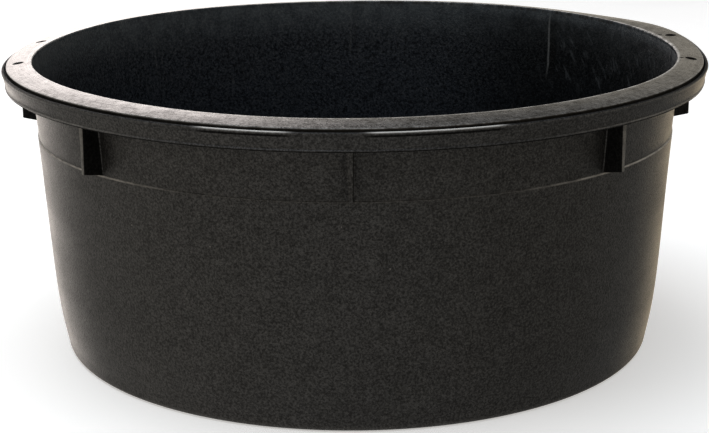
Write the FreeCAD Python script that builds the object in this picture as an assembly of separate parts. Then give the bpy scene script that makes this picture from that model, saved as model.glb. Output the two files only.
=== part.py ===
import FreeCAD, Part
import math
import os

# Round mortar mixing tub, moulded in polyethylene, in millimetres.
# +Z is up, the origin is in the middle of the underside and -Y is the front.
# The moulding is divided along its feature lines: floor, base corner, wall,
# upper band, flange, skirt and gussets are separate solids.
# Section points are (radius, height).

os.makedirs("parts", exist_ok=True)

# --- dimensions: overall and flange ---
RIM_R = 475.0            # largest radius, at the bead
HEIGHT = 395.0           # underside to the inner edge of the rim
OPENING_R = 434.4        # clear opening
LIP_R = 2.0              # rounding of the inner edge
FLANGE_OUT_R = 468.7
FLANGE_DROP = 4.7        # fall of the flange top from lip to outer edge
FLANGE_T = 4.6           # measured vertically
FLANGE_EDGE_R = 0.8      # rounding of the outer edge

# --- dimensions: groove, bead, skirt and hem ---
GROOVE_R = 468.3         # inner wall of the groove between flange and bead
GROOVE_Z = 383.8         # bottom of the groove
BEAD_R = 2.4             # section radius
BEAD_Z = 384.6           # height of the section's centre
BEAD_END_ANGLE = -42.0   # where the section meets the skirt, degrees from level
SKIRT_TOP_R = 474.05
SKIRT_TOP_Z = 382.6
SKIRT_BOT_R = 469.9
SKIRT_BOT_Z = 362.6
KNEE_R = 463.6           # thick corner where the flange turns into the skirt
KNEE_Z = 381.8
KNEE_DRAFT = 0.2         # outward lean of the knee's inner face
SKIRT_IN_TOP_R = 466.7   # inside face of the skirt below the knee
SKIRT_IN_TOP_Z = 379.0
SKIRT_IN_BOT_R = 466.9
HEM_H = 3.6              # hem along the bottom edge of the skirt
HEM_OUT = 1.2            # how far it stands out, by a 45 degree shoulder
HEM_R = 1.2              # rounding of its foot

# --- dimensions: wall, corner and floor ---
LEDGE_Z = 295.7          # small step round the wall
LEDGE_LOW_R = 432.4      # wall below the ledge, which stands proud
LEDGE_HIGH_R = 431.1     # wall above the ledge
LEDGE_RISE = 1.2         # height of the ledge's sloping shoulder
UPPER_TOP_R = 439.0      # outside of the wall where it meets the flange
UPPER_IN_TOP_R = 434.2
UPPER_IN_BOT_R = 427.8
CORNER_TOP_Z = 20.0
CORNER_OUT_FILLET = 8.0
CORNER_IN_FILLET = 12.0
FLOOR_T = 4.8
FLOOR_R = 385.0          # the floor panel meets the base corner here

# wall below the ledge, from the top down: (radius, height)
WALL_OUT = [(LEDGE_LOW_R, LEDGE_Z - LEDGE_RISE), (428.5, 237.2), (424.0, 166.0),
            (419.1, 94.9), (412.7, 41.5), (408.65, CORNER_TOP_Z)]
WALL_IN = [(UPPER_IN_BOT_R, LEDGE_Z), (424.5, 237.2), (420.1, 166.0),
           (415.2, 94.9), (408.8, 41.5), (404.75, CORNER_TOP_Z)]

# --- dimensions: holes and gussets ---
HOLE_R = 7.0             # rope-handle holes, one pair at each side
HOLE_PITCH_R = 453.0
HOLE_HALF_ANGLE = 10.5   # degrees each side of the X axis
DRILL_LENGTH = 40.0
DRILL_BELOW_RIM = 25.0   # start of the drill below the rim

GUSSET_OUT_R = 459.8     # vertical outer edge
GUSSET_OUT_Z = 301.3     # lower outer corner
GUSSET_T_TOP = 7.6       # nominal thickness under the flange
GUSSET_T_BOT = 4.8       # nominal thickness at the ledge
GUSSET_FILLET = 0.9
# anticlockwise from +X, equally spaced
GUSSET_NAMES = ["gusset_right", "gusset_rear_right", "gusset_rear", "gusset_rear_left",
                "gusset_left", "gusset_front_left", "gusset_front", "gusset_front_right"]

ORIGIN = FreeCAD.Vector(0, 0, 0)
AXIS_Z = FreeCAD.Vector(0, 0, 1)


# --- section helpers ---
def vec(point):
    """Section point as a vector in the XZ plane."""
    radius, height = point
    return FreeCAD.Vector(radius, 0, height)


def path(*points):
    """Straight edges joining the points in turn."""
    return [Part.LineSegment(vec(a), vec(b)).toShape()
            for a, b in zip(points, points[1:])]


def on_circle(centre, radius, degrees):
    angle = math.radians(degrees)
    return (centre[0] + radius * math.cos(angle), centre[1] + radius * math.sin(angle))


def arc(centre, radius, start, end):
    """Arc between two angles in degrees, as a one-edge list."""
    points = [vec(on_circle(centre, radius, degrees))
              for degrees in (start, (start + end) / 2, end)]
    return [Part.Arc(*points).toShape()]


def spline(points):
    """Smooth curve through the points, as a one-edge list."""
    curve = Part.BSplineCurve()
    curve.interpolate([vec(point) for point in points])
    return [curve.toShape()]


def lathe(edges):
    """Turn a closed section round the tub's axis."""
    face = Part.Face(Part.Wire(Part.__sortEdges__(edges)))
    solid = face.revolve(ORIGIN, AXIS_Z, 360.0)
    if solid.Volume < 0:
        solid.reverse()
    return solid


def flange_top(radius):
    """Height of the sloping flange top."""
    lip_end_r = OPENING_R + LIP_R
    slope = FLANGE_DROP / (FLANGE_OUT_R - lip_end_r)
    return HEIGHT - (radius - lip_end_r) * slope


def flange_under(radius):
    return flange_top(radius) - FLANGE_T


# --- points shared by neighbouring pieces ---
LEDGE_TOP = (LEDGE_HIGH_R, LEDGE_Z)
WALL_TOP_OUT = (UPPER_TOP_R, flange_under(UPPER_TOP_R))
WALL_TOP_IN = (UPPER_IN_TOP_R, WALL_TOP_OUT[1])
GROOVE_ROOT = (GROOVE_R, GROOVE_Z)
SKIRT_ROOT = (KNEE_R, flange_under(KNEE_R))


# --- pieces ---
def floor_panel():
    return Part.makeCylinder(FLOOR_R, FLOOR_T, ORIGIN, AXIS_Z)


def corner_fillet(radius, floor_z, wall_r):
    """Fillet from wall to floor: its wall end, its floor end and its edge.

    wall_r is the wall's radius at the top of the corner.
    """
    (high_r, high_z), (low_r, low_z) = WALL_OUT[-2:]
    slope = (high_r - low_r) / (high_z - low_z)
    lean = math.degrees(math.atan(slope))
    centre_z = floor_z + radius
    wall_r_at_centre = wall_r - (CORNER_TOP_Z - centre_z) * slope
    centre = (wall_r_at_centre - radius / math.cos(math.radians(lean)), centre_z)
    wall_end = on_circle(centre, radius, -lean)
    floor_end = (centre[0], floor_z)
    return wall_end, floor_end, arc(centre, radius, -lean, -90)


def base_corner():
    out_wall, out_floor, out_arc = corner_fillet(CORNER_OUT_FILLET, 0, WALL_OUT[-1][0])
    in_wall, in_floor, in_arc = corner_fillet(CORNER_IN_FILLET, FLOOR_T, WALL_IN[-1][0])
    return lathe(
        path((FLOOR_R, 0), out_floor)
        + out_arc
        + path(out_wall, WALL_OUT[-1], WALL_IN[-1], in_wall)
        + in_arc
        + path(in_floor, (FLOOR_R, FLOOR_T), (FLOOR_R, 0)))


def side_wall():
    """Gently barrelled wall from the base corner up to the ledge."""
    return lathe(
        spline(WALL_OUT)
        + path(WALL_OUT[-1], WALL_IN[-1])
        + spline(WALL_IN)
        + path(WALL_IN[0], LEDGE_TOP, WALL_OUT[0]))


def upper_band():
    """Wall between the ledge and the flange."""
    return lathe(path(LEDGE_TOP, WALL_TOP_OUT, WALL_TOP_IN, WALL_IN[0], LEDGE_TOP))


def rim_flange():
    """Sloping flange with the rope-handle holes."""
    lip_centre = (OPENING_R + LIP_R, HEIGHT - LIP_R)
    edge_r = FLANGE_OUT_R - FLANGE_EDGE_R
    edge_z = flange_top(edge_r)
    edge_centre = (edge_r, edge_z - FLANGE_EDGE_R)
    flange = lathe(
        path(WALL_TOP_IN, (OPENING_R, lip_centre[1]))
        + arc(lip_centre, LIP_R, 180, 90)
        + path((lip_centre[0], HEIGHT), (edge_r, edge_z))
        + arc(edge_centre, FLANGE_EDGE_R, 90, 0)
        + path((FLANGE_OUT_R, edge_centre[1]), GROOVE_ROOT, SKIRT_ROOT,
               WALL_TOP_OUT, WALL_TOP_IN))
    for side in (0, 180):
        for turn in (-HOLE_HALF_ANGLE, HOLE_HALF_ANGLE):
            x, y = on_circle((0, 0), HOLE_PITCH_R, side + turn)
            start = FreeCAD.Vector(x, y, HEIGHT - DRILL_BELOW_RIM)
            flange = flange.cut(Part.makeCylinder(HOLE_R, DRILL_LENGTH, start, AXIS_Z))
    return flange


def skirt_out(height):
    """Outer radius of the skirt at a height."""
    fraction = (SKIRT_TOP_Z - height) / (SKIRT_TOP_Z - SKIRT_BOT_Z)
    return SKIRT_TOP_R + (SKIRT_BOT_R - SKIRT_TOP_R) * fraction


def rim_skirt():
    """Groove floor, bead, down-turned skirt and hem."""
    bead_centre = (RIM_R - BEAD_R, BEAD_Z)
    bead_start = on_circle(bead_centre, BEAD_R, 180)
    bead_end = on_circle(bead_centre, BEAD_R, BEAD_END_ANGLE)
    hem_top_z = SKIRT_BOT_Z + HEM_H
    shoulder_z = hem_top_z - HEM_OUT
    foot_r = SKIRT_BOT_R + HEM_OUT
    foot_centre = (foot_r - HEM_R, SKIRT_BOT_Z + HEM_R)
    return lathe(
        path(GROOVE_ROOT, (bead_start[0], GROOVE_Z), bead_start)
        + arc(bead_centre, BEAD_R, 180, BEAD_END_ANGLE)
        + path(bead_end,
               (SKIRT_TOP_R, SKIRT_TOP_Z),
               (skirt_out(hem_top_z), hem_top_z),
               (skirt_out(shoulder_z) + HEM_OUT, shoulder_z),
               (foot_r, foot_centre[1]))
        + arc(foot_centre, HEM_R, 0, -90)
        + path((foot_centre[0], SKIRT_BOT_Z),
               (SKIRT_IN_BOT_R, SKIRT_BOT_Z),
               (SKIRT_IN_TOP_R, SKIRT_IN_TOP_Z),
               (KNEE_R + KNEE_DRAFT, KNEE_Z),
               SKIRT_ROOT,
               GROOVE_ROOT))


# --- gusset: a radial plate between wall, ledge and flange ---
# The blank and its cutters run past the finished faces by these margins.
BLANK_BOT_Z = LEDGE_Z - 3.0
BLANK_TOP_Z = HEIGHT - 2.0
BLANK_IN_R = LEDGE_HIGH_R - 8.0
KNIFE_IN_R = LEDGE_HIGH_R - 12.0
KNIFE_OUT_R = GUSSET_OUT_R + 5.0
KNIFE_BOT_Z = LEDGE_Z - 10.0
KNIFE_HALF_WIDTH = 20.0
FITTING_IN_R = 380.0
FITTING_BOT_Z = LEDGE_Z - 6.0


def gusset_blank():
    """Block along +X, thicker towards the top."""
    taper = (GUSSET_T_TOP - GUSSET_T_BOT) / 2 / (flange_under(GUSSET_OUT_R) - LEDGE_Z)
    half_bot = GUSSET_T_BOT / 2
    half_top = half_bot + taper * (BLANK_TOP_Z - BLANK_BOT_Z)
    corners = [FreeCAD.Vector(BLANK_IN_R, y, z) for y, z in (
        (-half_bot, BLANK_BOT_Z), (half_bot, BLANK_BOT_Z),
        (half_top, BLANK_TOP_Z), (-half_top, BLANK_TOP_Z))]
    face = Part.Face(Part.makePolygon(corners + corners[:1]))
    return face.extrude(FreeCAD.Vector(GUSSET_OUT_R - BLANK_IN_R, 0, 0))


def underside_knife():
    """Removes what lies below the line from the ledge to the lower outer corner."""
    slope = (GUSSET_OUT_Z - LEDGE_Z) / (GUSSET_OUT_R - LEDGE_HIGH_R)
    corners = [vec(point) for point in (
        (KNIFE_IN_R, KNIFE_BOT_Z),
        (KNIFE_OUT_R, KNIFE_BOT_Z),
        (KNIFE_OUT_R, LEDGE_Z + slope * (KNIFE_OUT_R - LEDGE_HIGH_R)),
        LEDGE_TOP,
        (KNIFE_IN_R, LEDGE_Z))]
    face = Part.Face(Part.makePolygon(corners + corners[:1]))
    face.translate(FreeCAD.Vector(0, -KNIFE_HALF_WIDTH, 0))
    return face.extrude(FreeCAD.Vector(0, 2 * KNIFE_HALF_WIDTH, 0))


def fitting_tool():
    """Ring that fills the wall and flange, to fit a gusset against them."""
    return lathe(path(
        (FITTING_IN_R, FITTING_BOT_Z),
        (LEDGE_LOW_R, FITTING_BOT_Z),
        WALL_OUT[0],
        LEDGE_TOP,
        WALL_TOP_OUT,
        SKIRT_ROOT,
        (KNEE_R, HEIGHT),
        (FITTING_IN_R, HEIGHT),
        (FITTING_IN_R, FITTING_BOT_Z)))


def on_outer_face(edge):
    """True for the outer face's side and bottom edges, not its top edge."""
    points = [vertex.Point for vertex in edge.Vertexes]
    return (all(abs(point.x - GUSSET_OUT_R) < 1e-4 for point in points)
            and min(point.z for point in points) < BLANK_TOP_Z - 1.0)


def gusset():
    plate = gusset_blank().cut(underside_knife())
    outer_edges = [edge for edge in plate.Edges if on_outer_face(edge)]
    plate = plate.makeFillet(GUSSET_FILLET, outer_edges)
    return plate.cut(fitting_tool()).Solids[0]


# --- build and export ---
def save(name, shape):
    shape.exportStep("parts/" + name + ".step")


for build in (floor_panel, base_corner, side_wall, upper_band, rim_flange, rim_skirt):
    save(build.__name__, build())

first_gusset = gusset()
for i, name in enumerate(GUSSET_NAMES):
    turned = first_gusset.copy()
    turned.rotate(ORIGIN, AXIS_Z, 360.0 / len(GUSSET_NAMES) * i)
    save(name, turned)
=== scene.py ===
"""A round black plastic mixing tub with a rolled rim, four holes in the rim and eight gussets.

The tub stands on z = 0 with its axis on z. The front is -Y and the right-hand side +X.
Shapes are worked out in millimetres as (r, z) sections round the axis and built in metres.
"""
import math
from collections import namedtuple
from types import SimpleNamespace

import bmesh
import bpy
import numpy as np
from mathutils import Matrix, Vector


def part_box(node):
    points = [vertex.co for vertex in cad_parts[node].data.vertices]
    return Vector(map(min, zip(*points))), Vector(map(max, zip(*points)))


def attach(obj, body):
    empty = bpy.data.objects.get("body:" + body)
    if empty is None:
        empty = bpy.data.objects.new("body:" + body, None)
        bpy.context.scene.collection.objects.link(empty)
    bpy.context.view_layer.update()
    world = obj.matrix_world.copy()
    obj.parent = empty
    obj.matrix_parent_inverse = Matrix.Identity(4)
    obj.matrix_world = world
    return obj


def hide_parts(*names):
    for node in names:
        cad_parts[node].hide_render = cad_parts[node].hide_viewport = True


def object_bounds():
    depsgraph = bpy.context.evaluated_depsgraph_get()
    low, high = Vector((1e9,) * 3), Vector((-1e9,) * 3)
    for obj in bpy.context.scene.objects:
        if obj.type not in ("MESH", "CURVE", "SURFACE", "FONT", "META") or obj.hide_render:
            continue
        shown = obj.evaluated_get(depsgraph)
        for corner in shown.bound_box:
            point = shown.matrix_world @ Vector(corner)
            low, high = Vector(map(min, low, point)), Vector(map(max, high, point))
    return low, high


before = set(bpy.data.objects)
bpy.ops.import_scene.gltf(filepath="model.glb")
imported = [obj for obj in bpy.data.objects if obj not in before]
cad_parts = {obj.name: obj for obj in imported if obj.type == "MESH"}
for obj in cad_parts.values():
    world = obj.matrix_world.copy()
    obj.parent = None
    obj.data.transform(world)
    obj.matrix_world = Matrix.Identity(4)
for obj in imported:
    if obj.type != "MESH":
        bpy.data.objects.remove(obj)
cad_box = [list(corner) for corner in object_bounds()]

MM = 0.001
SEED = 20260


def box_mm(name):
    """Low and high corner of a frame node, in millimetres."""
    return [[c / MM for c in corner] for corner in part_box(name)]


# ---------------------------------------------------------------------------
# sizes, in millimetres
# ---------------------------------------------------------------------------
RIM_R = max(cad_box[1][0], cad_box[1][1]) / MM
HEIGHT = cad_box[1][2] / MM
LEDGE_LOW_R, _, LEDGE_Z = box_mm("side_wall")[1]
CORNER_TOP_Z = box_mm("base_corner")[1][2]
FLOOR_R, _, FLOOR_T = box_mm("floor_panel")[1]
UPPER_TOP_R, _, ROOT_Z = box_mm("upper_band")[1]
SKIRT_BOT_Z = box_mm("rim_skirt")[0][2]
GUSSET_OUT_R = box_mm("gusset_right")[1][0]

# base corner and walls; tables are (z, r) stations from the ledge down
FILLET_OUT_R, FILLET_IN_R = 8.0, 12.0
WALL_OUT = [(294.5, 432.4), (237.2, 428.5), (166.0, 424.0),
            (94.9, 419.1), (41.5, 412.7), (20.0, 408.65)]
WALL_IN = [(295.7, 427.8), (237.2, 424.5), (166.0, 420.1),
           (94.9, 415.2), (41.5, 408.8), (20.0, 404.75)]
WALL_STEPS = 72
FOOT_OUT_R, FOOT_IN_R = WALL_OUT[-1][1], WALL_IN[-1][1]
TOE = (WALL_OUT[-2][1] - FOOT_OUT_R) / (WALL_OUT[-2][0] - WALL_OUT[-1][0])
TOE_ANGLE = math.degrees(math.atan(TOE))
LEDGE_HIGH_R, LEDGE_RISE = 431.1, 1.2
UPPER_IN_TOP_R, UPPER_IN_BOT_R = 434.2, 427.8
FLOOR_RINGS = [0, 60, 140, 220, 300, 350]
FLOOR_EXTRA_RING = 372

# rim flange
OPENING_R, LIP_R = 434.4, 2.0
FLANGE_START_R = OPENING_R + LIP_R
FLANGE_OUT_R, FLANGE_T, FLANGE_DROP, FLANGE_CROWN = 468.7, 4.6, 4.7, 0.7
FLANGE_SLOPE = FLANGE_DROP / (FLANGE_OUT_R - FLANGE_START_R)
EDGE_R = 0.8
EDGE_TOP_R = FLANGE_OUT_R - EDGE_R
GROOVE_R, GROOVE_Z = 468.3, 383.8
KNEE_R, KNEE_Z = 463.6, 381.8

# rolled edge: bead, skirt and hem
BEAD_R, BEAD_Z, BEAD_UNDER = 2.4, 384.6, 42.0             # BEAD_UNDER in degrees
BEAD_C = (RIM_R - BEAD_R, BEAD_Z)
SKIRT_TOP_R, SKIRT_TOP_Z, SKIRT_BOT_R = 474.05, 382.6, 469.9
SKIRT_IN_TOP_R, SKIRT_IN_TOP_Z, SKIRT_IN_BOT_R = 466.7, 379.0, 466.9
HEM_H, HEM_OUT, HEM_R = 3.6, 1.2, 1.2

# holes and pits in the flange; turns are degrees from +X towards +Y
HOLE_R, HOLE_PITCH_R, HOLE_HALF, HOLE_MOUTH = 7.0, 453.0, 10.5, 1.9
HOLE_TURNS = [side + off for side in (0.0, 180.0) for off in (-HOLE_HALF, HOLE_HALF)]
PIT_TURNS, PIT_AT_R, PIT_R, PIT_DEPTH = (-10.8, 11.6), 440.2, 2.6, 1.5

# gussets
GUSSET_OUT_Z = 301.3
GUSSET_LOW_HALF, GUSSET_TOP_HALF = 2.4, 3.8               # half thickness
GUSSET_EDGE, GUSSET_FILLET = 1.25, 1.7
GUSSETS = ["gusset_right", "gusset_rear_right", "gusset_rear", "gusset_rear_left",
           "gusset_left", "gusset_front_left", "gusset_front", "gusset_front_right"]
GUSSET_PITCH = 360 // len(GUSSETS)

# segments round the axis
FLOOR_TURNS, CORNER_TURNS, WALL_TURNS, HOLE_SEGMENTS = 720, 960, 1440, 64
SHARP, SHARP_SMALL = 32.0, 40.0                           # shading limits, degrees


def flange_top(r):
    return HEIGHT - (r - FLANGE_START_R) * FLANGE_SLOPE


def flange_under(r):
    return flange_top(r) - FLANGE_T


EDGE_C = (EDGE_TOP_R, flange_top(EDGE_TOP_R) - EDGE_R)
SKIRT_ROOT = (KNEE_R, flange_under(KNEE_R))


# ---------------------------------------------------------------------------
# profile tools
# ---------------------------------------------------------------------------
def seg(a, b, step):
    """Points from a to b, b left out."""
    n = max(1, int(math.ceil(math.dist(a, b) / step)))
    return [(a[0] + (b[0] - a[0]) * i / n, a[1] + (b[1] - a[1]) * i / n) for i in range(n)]


def arc(centre, radius, start, stop, n):
    """Points of an arc from start to stop degrees, the end left out."""
    angles = [math.radians(start + (stop - start) * i / n) for i in range(n)]
    return [(centre[0] + radius * math.cos(a), centre[1] + radius * math.sin(a)) for a in angles]


def smooth_curve(stations, n):
    """Natural cubic spline through (z, r) stations, as n + 1 points (r, z) from first to last."""
    z, r = np.array(stations, float).T
    order = np.argsort(z)
    zs, rs = z[order], r[order]
    gap = np.diff(zs)
    count = len(zs)
    matrix = np.zeros((count, count))
    right = np.zeros(count)
    matrix[0, 0] = matrix[-1, -1] = 1.0
    for i in range(1, count - 1):
        matrix[i, i - 1:i + 2] = gap[i - 1], 2 * (gap[i - 1] + gap[i]), gap[i]
        right[i] = 6 * ((rs[i + 1] - rs[i]) / gap[i] - (rs[i] - rs[i - 1]) / gap[i - 1])
    bend = np.linalg.solve(matrix, right)
    points = []
    for at in np.linspace(z[0], z[-1], n + 1):
        k = int(min(max(np.searchsorted(zs, at) - 1, 0), count - 2))
        above, below = at - zs[k], zs[k + 1] - at
        radius = (bend[k] * below ** 3 + bend[k + 1] * above ** 3) / (6 * gap[k]) \
            + (rs[k] / gap[k] - bend[k] * gap[k] / 6) * below \
            + (rs[k + 1] / gap[k] - bend[k + 1] * gap[k] / 6) * above
        points.append((float(radius), float(at)))
    return points


# ---------------------------------------------------------------------------
# warp: the thin moulding is a little out of round, gently wavy, and dented
# outwards on the inside behind the gussets
# ---------------------------------------------------------------------------
WAVE_COUNT = 14
rng = np.random.default_rng(SEED)
# (waves round the tub, phase per mm of height, phase, size in mm)
WAVES = [(int(n), float(twist), float(phase), float(size)) for n, twist, phase, size in zip(
    rng.integers(5, 24, WAVE_COUNT), rng.uniform(-0.035, 0.035, WAVE_COUNT),
    rng.uniform(0, 6.283, WAVE_COUNT), rng.uniform(0.02, 0.075, WAVE_COUNT))]
LIFT, LIFT_TURN, LIFT_SPREAD = 6.6, 17.0, 16.0            # mm, then degrees from +X


def smoothstep(x, lo, hi):
    t = np.clip((x - lo) / (hi - lo), 0.0, 1.0)
    return t * t * (3 - 2 * t)


def warp(theta, r, z, dent=0.0):
    """Offsets (dr, dz) of a point of the perfect shape; dent weighs the gusset dents."""
    h = np.clip(z / HEIGHT, 0.0, 1.0)
    near_wall = smoothstep(r, 300.0, 385.0)
    # out of round, growing with height
    dr = 0.55 * h ** 1.5 * np.cos(2 * theta + 0.9) + 0.25 * h * np.cos(3 * theta + 2.1)
    belly = np.sin(np.pi * np.clip(z / LEDGE_Z, 0, 1.25) / 1.25)
    for n, twist, phase, size in WAVES:
        dr = dr + size * belly * np.cos(n * theta + twist * z + phase)
    dr = dr * near_wall
    # the rim dips and rises
    dz = (0.45 * np.cos(2 * theta - 0.5) + 0.18 * np.cos(5 * theta + 0.4)
          - 0.75 * np.cos(4 * theta)) * h ** 6
    # the flange is lifted just behind the middle of the right-hand side
    off = (theta - math.radians(LIFT_TURN) + math.pi) % (2 * math.pi) - math.pi
    dz = dz + LIFT * np.exp(-(off / math.radians(LIFT_SPREAD)) ** 2) \
        * np.clip((r - 436.0) / 34.0, 0.0, 1.05) * smoothstep(z, 300.0, 372.0)
    if np.any(dent):
        pitch = math.radians(GUSSET_PITCH)
        across = ((theta + pitch / 2) % pitch - pitch / 2) * 430.0
        fade = smoothstep(z, LEDGE_Z - 16.0, LEDGE_Z + 16.0) \
            * (1 - 0.35 * smoothstep(z, ROOT_Z - 8, ROOT_Z))
        # a dent with a slight bulge on either flank
        dr = dr + dent * fade * (0.95 * np.exp(-(across / 4.6) ** 2)
                                 - 0.28 * np.exp(-((np.abs(across) - 7.5) / 3.4) ** 2))
    return dr, dz


# ---------------------------------------------------------------------------
# mesh builders
# ---------------------------------------------------------------------------
def add_object(name, mesh):
    ob = bpy.data.objects.new(name, mesh)
    bpy.context.scene.collection.objects.link(ob)
    return ob


def add_bmesh(name, bm):
    mesh = bpy.data.meshes.new(name)
    bm.to_mesh(mesh)
    bm.free()
    return add_object(name, mesh)


def smooth(mesh, sharp):
    mesh.polygons.foreach_set("use_smooth", [True] * len(mesh.polygons))
    mesh.set_sharp_from_angle(angle=math.radians(sharp))
    mesh.update()


def add_solid(name, verts, faces, sharp=SHARP):
    """A closed mesh with its faces turned outwards."""
    mesh = bpy.data.meshes.new(name)
    mesh.from_pydata([tuple(v) for v in verts], [], faces)
    mesh.update()
    bm = bmesh.new()
    bm.from_mesh(mesh)
    bmesh.ops.recalc_face_normals(bm, faces=bm.faces)
    if bm.calc_volume(signed=True) < 0:
        bmesh.ops.reverse_faces(bm, faces=bm.faces)
    bm.to_mesh(mesh)
    bm.free()
    smooth(mesh, sharp)
    return add_object(name, mesh)


def keep_section(ob, r, z, painted_shade=None):
    """Store each vertex's place on the perfect section and its depth of painted shade, for the
    wear, painted shade and painted highlight in the materials.
    """
    r, z = np.asarray(r, float), np.asarray(z, float)
    dr, dz = r - BEAD_C[0], z - BEAD_C[1]
    on_bead = np.abs(np.hypot(dz, dr) - BEAD_R) < 0.05
    turn = np.degrees(np.arctan2(dz, dr))
    values = {"sec_r": r * MM,
              "sec_z": z * MM,
              "sec_painted_shade": np.zeros(len(r)) if painted_shade is None else np.asarray(painted_shade, float),
              "sec_bead": np.where(on_bead, smoothstep(turn, 5.0, 75.0), 0.0)}
    attributes = ob.data.attributes
    for name, data in values.items():
        if name in attributes:
            attributes.remove(attributes[name])
        layer = attributes.new(name, "FLOAT", "POINT")
        layer.data.foreach_set("value", data.ravel().astype(np.float32))


def warped_points(angles, r, z, dent=0.0):
    """Points in metres of the warped shape."""
    dr, dz = warp(angles, r, z, dent)
    r, z = r + dr, z + dz
    return np.stack([r * np.cos(angles), r * np.sin(angles), z], -1).reshape(-1, 3) * MM


def ring(name, loop, turns, dent=None, sharp=SHARP, painted_shade=None):
    """A closed section loop carried round the axis; dent has one weight for each point."""
    loop = np.array(loop, float)
    m = len(loop)
    angles, k = np.meshgrid(np.arange(turns) * 2 * math.pi / turns, np.arange(m), indexing="ij")
    r, z = loop[k, 0], loop[k, 1]
    weight = np.zeros_like(r) if dent is None else np.array(dent, float)[k]
    verts = warped_points(angles, r, z, weight)
    faces = []
    for i in range(turns):
        j = (i + 1) % turns
        for a in range(m):
            b = (a + 1) % m
            faces.append((i * m + a, j * m + a, j * m + b, i * m + b))
    ob = add_solid(name, verts, faces, sharp)
    if painted_shade is None:
        deep = np.zeros_like(r)
    else:
        deep = np.array([painted_shade(*point) for point in loop], float)[k]
    keep_section(ob, r.ravel(), z.ravel(), deep.ravel())
    return ob


def lathe(profile, turns, place):
    """Turn (r, z) stops that start and end on the axis; place(r, z, angles) gives a row's points.

    Returns vertices, faces and the (r, z) of every vertex.
    """
    verts, rows, section, faces = [], [], [], []
    for r, z in profile:
        angles = np.arange(1 if r < 1e-6 else turns) * 2 * math.pi / turns
        rows.append(range(len(verts), len(verts) + len(angles)))
        section += [(r, z)] * len(angles)
        verts += place(r, z, angles)
    for a, b in zip(rows, rows[1:]):
        for i in range(turns):
            j = (i + 1) % turns
            if len(a) == 1:
                faces.append((a[0], b[i], b[j]))
            elif len(b) == 1:
                faces.append((a[i], b[0], a[j]))
            else:
                faces.append((a[i], b[i], b[j], a[j]))
    return verts, faces, section


# ---------------------------------------------------------------------------
# floor, base corner and walls
# ---------------------------------------------------------------------------
def build_floor():
    stops = [(r, 0.0) for r in FLOOR_RINGS + [FLOOR_R]]
    stops += [(r, FLOOR_T) for r in [FLOOR_R, FLOOR_EXTRA_RING] + FLOOR_RINGS[::-1]]

    def place(r, z, angles):
        return list(warped_points(angles, np.full(len(angles), r), np.full(len(angles), z)))

    verts, faces, section = lathe(stops, FLOOR_TURNS, place)
    ob = add_solid("tub_floor", verts, faces)
    keep_section(ob, *zip(*section))
    return ob


def fillet(radius, floor_z, wall_r):
    """Centre of the corner's fillet, and the point where it meets the leaning wall."""
    lean = math.radians(TOE_ANGLE)
    z = floor_z + radius
    r = wall_r - (CORNER_TOP_Z - z) * TOE - radius / math.cos(lean)
    return (r, z), (r + radius * math.cos(lean), z - radius * math.sin(lean))


def build_corner():
    centre_out, end_out = fillet(FILLET_OUT_R, 0.0, FOOT_OUT_R)
    centre_in, end_in = fillet(FILLET_IN_R, FLOOR_T, FOOT_IN_R)
    top_out, top_in = (FOOT_OUT_R, CORNER_TOP_Z), (FOOT_IN_R, CORNER_TOP_Z)
    loop = seg((FLOOR_R, 0.0), (centre_out[0], 0.0), 4.0)
    loop += arc(centre_out, FILLET_OUT_R, -90.0, -TOE_ANGLE, 12)
    loop += seg(end_out, top_out, 3.0)
    loop += seg(top_out, top_in, 2.0)
    loop += seg(top_in, end_in, 2.5)
    loop += arc(centre_in, FILLET_IN_R, -TOE_ANGLE, -90.0, 14)
    loop += seg((centre_in[0], FLOOR_T), (FLOOR_R, FLOOR_T), 3.0)
    loop += seg((FLOOR_R, FLOOR_T), (FLOOR_R, 0.0), 2.4)
    return ring("tub_base_corner", loop, CORNER_TURNS)


def build_wall():
    """Side wall, with the ledge on top as a sloping shoulder with soft edges."""
    out_curve = smooth_curve(WALL_OUT, WALL_STEPS)
    in_curve = smooth_curve(WALL_IN, WALL_STEPS)
    shoulder_z = LEDGE_Z - LEDGE_RISE
    # (inset in r, height over the shoulder's foot)
    soft = [(LEDGE_LOW_R - inset, shoulder_z + up)
            for inset, up in ((0.28, 0.34), (0.10, 0.08), (0.03, -0.22))]
    outer = seg((LEDGE_HIGH_R, LEDGE_Z), soft[0], 0.45) + soft
    outer += [p for p in out_curve if p[1] < shoulder_z - 0.6]
    outer += seg(out_curve[-1], in_curve[-1], 2.0)[1:]
    inner = in_curve[::-1]
    top = seg(in_curve[0], (LEDGE_HIGH_R, LEDGE_Z), 2.0)[1:]
    dent = [0.0] * len(outer) + [float(z > 200.0) for _, z in inner] + [0.0] * len(top)
    return ring("tub_side_wall", outer + inner + top, WALL_TURNS, dent)


def build_band():
    outer = seg((LEDGE_HIGH_R, LEDGE_Z), (UPPER_TOP_R, ROOT_Z), 3.0)
    outer += seg((UPPER_TOP_R, ROOT_Z), (UPPER_IN_TOP_R, ROOT_Z), 1.8)
    inner = seg((UPPER_IN_TOP_R, ROOT_Z), (UPPER_IN_BOT_R, LEDGE_Z), 3.0)
    inner += [(UPPER_IN_BOT_R, LEDGE_Z)]
    bottom = seg((UPPER_IN_BOT_R, LEDGE_Z), (LEDGE_HIGH_R, LEDGE_Z), 1.8)[1:]
    dent = [0.0] * len(outer) + [1.0] * len(inner) + [0.0] * len(bottom)
    return ring("tub_upper_band", outer + inner + bottom, WALL_TURNS, dent)


# ---------------------------------------------------------------------------
# rim flange with its holes and pits
# ---------------------------------------------------------------------------
def crown(r):
    """Rise of the shallow crown across the flange's top."""
    u = min(max((r - FLANGE_START_R) / (EDGE_TOP_R - FLANGE_START_R), 0.0), 1.0)
    return 4.0 * FLANGE_CROWN * u * (1.0 - u)


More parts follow.
